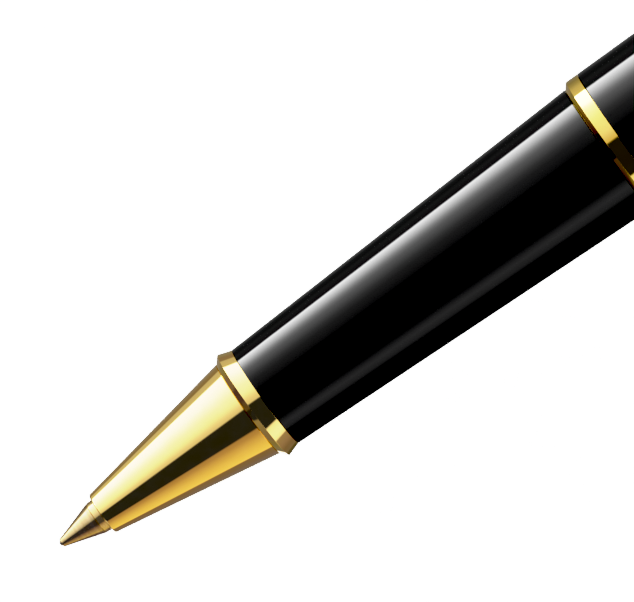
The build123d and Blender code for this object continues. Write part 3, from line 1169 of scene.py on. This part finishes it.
def brightness_ramp(tree, value, reach, stops):
    """A colour ramp over a value from -reach to reach, from (value, light) stops."""
    node = tree.nodes.new("ShaderNodeValToRGB")
    ramp = node.color_ramp
    while len(ramp.elements) < len(stops):
        ramp.elements.new(0.5)
    for element, (where, light) in zip(ramp.elements, stops):
        element.position = (where + reach) / (2 * reach)
    for element, (where, light) in zip(ramp.elements, stops):
        colour = light if isinstance(light, tuple) else (light, light, light)
        element.color = (*colour, 1)
    tree.links.new(spread(tree, value, 0, 1, -reach, reach), node.inputs["Fac"])
    return node.outputs["Color"]


def math_node(tree, operation, first, second=None):
    """A Math node. Each input is a socket or a number."""
    node = tree.nodes.new("ShaderNodeMath")
    node.operation = operation
    for socket, value in zip(node.inputs, (first, second)):
        if value is None:
            continue
        if isinstance(value, (int, float)):
            socket.default_value = value
        else:
            tree.links.new(value, socket)
    return node.outputs["Value"]


def build_surroundings():
    """The soft light and the reflectors, as brightness round the pen's axis, and a white backdrop."""
    world = bpy.data.worlds.new("studio")
    bpy.context.scene.world = world
    world.cycles_visibility.diffuse = False
    world.use_nodes = True
    tree = world.node_tree
    tree.nodes.clear()
    source = tree.nodes.new("ShaderNodeTexCoord")
    parts = tree.nodes.new("ShaderNodeSeparateXYZ")
    tree.links.new(source.outputs["Generated"], parts.inputs["Vector"])
    along, across, up = parts.outputs
    sideways = math_node(tree, "MULTIPLY", across, -1.0)
    angle = math_node(tree, "DEGREES", math_node(tree, "ARCTAN2", sideways, up))
    below = math_node(tree, "MINIMUM", up, 0.0)
    slanted = math_node(tree, "ADD", along, math_node(tree, "MULTIPLY", below, AHEAD_DROOP))
    rise = math_node(tree, "ADD", up, math_node(tree, "MULTIPLY", along, HORIZON_SLANT))
    overhead = brightness_ramp(tree, angle, 180, ABOVE)
    low_ahead = brightness_ramp(tree, across, 1, FAR_AHEAD)
    far_ahead = blend(tree, low_ahead, overhead, rise, *HORIZON)
    light = blend(tree, overhead, brightness_ramp(tree, angle, 180, BEHIND), along, *BEHIND_FROM)
    light = blend(tree, light, brightness_ramp(tree, angle, 180, AHEAD), slanted, *AHEAD_FROM)
    light = blend(tree, light, brightness_ramp(tree, angle, 180, TIP_AHEAD), along, *TIP_AHEAD_FROM)
    light = blend(tree, light, far_ahead, along, *FAR_AHEAD_FROM)
    studio = tree.nodes.new("ShaderNodeBackground")
    tree.links.new(light, studio.inputs["Color"])
    wall = tree.nodes.new("ShaderNodeBackground")
    wall.inputs["Color"].default_value = (WHITE, WHITE, WHITE, 1)
    seen = tree.nodes.new("ShaderNodeLightPath")
    both = tree.nodes.new("ShaderNodeMixShader")
    tree.links.new(seen.outputs["Is Camera Ray"], both.inputs["Fac"])
    tree.links.new(studio.outputs["Background"], both.inputs[1])
    tree.links.new(wall.outputs["Background"], both.inputs[2])
    output = tree.nodes.new("ShaderNodeOutputWorld")
    tree.links.new(both.outputs["Shader"], output.inputs["Surface"])


def build_lamp():
    """An even light from straight overhead for the table, without shadows or a reflection of its own."""
    data = bpy.data.lights.new("overhead", "SUN")
    data.energy = 13.6
    data.use_shadow = False
    lamp = bpy.data.objects.new("overhead", data)
    bpy.context.scene.collection.objects.link(lamp)
    lamp.visible_glossy = False


def build_camera():
    """A long lens high above the pen, just behind its middle, turned towards its front half."""
    data = bpy.data.cameras.new("camera")
    data.lens = 700.8
    data.sensor_width = 36.0
    data.clip_start = 0.01
    data.clip_end = 50.0
    camera = bpy.data.objects.new("camera", data)
    bpy.context.scene.collection.objects.link(camera)
    eye = Vector((0.0880, 0.0, 0.9480))
    aim = Vector((0.0271, 0.003633, 0.0))
    roll = math.radians(35.802)
    forward = (aim - eye).normalized()
    level = (Vector((1, 0, 0)) - forward * forward.x).normalized()
    upward = level.cross(forward)
    right = level * math.cos(roll) - upward * math.sin(roll)
    top = level * math.sin(roll) + upward * math.cos(roll)
    turn = Matrix((right, top, -forward)).transposed()
    camera.matrix_world = Matrix.Translation(eye) @ turn.to_4x4()
    bpy.context.scene.camera = camera


def set_exposure():
    """The tones of a product photograph: deep blacks, and highlights that roll off gently to white."""
    view = bpy.context.scene.view_settings
    view.view_transform = "Standard"
    view.look = "None"
    view.use_curve_mapping = True
    mapping = view.curve_mapping
    black = 0.063
    mapping.black_level = (black, black, black)
    mapping.clip_max_x = 4.0
    curve = mapping.curves[3]
    curve.points[1].location = (WHITE, 1.0)
    tones = [(0.6, 0.6), (0.8, 0.78), (0.9, 0.84), (1.1, 0.875), (1.5, 0.90), (2.0, 0.93), (2.8, 0.965)]
    for tone in tones:
        curve.points.new(*tone)
    for point in curve.points:
        point.handle_type = "VECTOR"
    mapping.update()


build_ball()
build_refill_tip()
build_front_cone()
build_front_ring()
build_grip()
build_section_thread()
build_barrel_bush()
build_refill()
build_grip_lining()
build_cap_seal()
build_spring()
build_trim_ring()
build_barrel()
build_tail()
build_cap_bands()
build_cap_shell()
build_finial()
build_clip()
build_clip_collar()
build_floor()
build_surroundings()
build_lamp()
build_camera()
set_exposure()
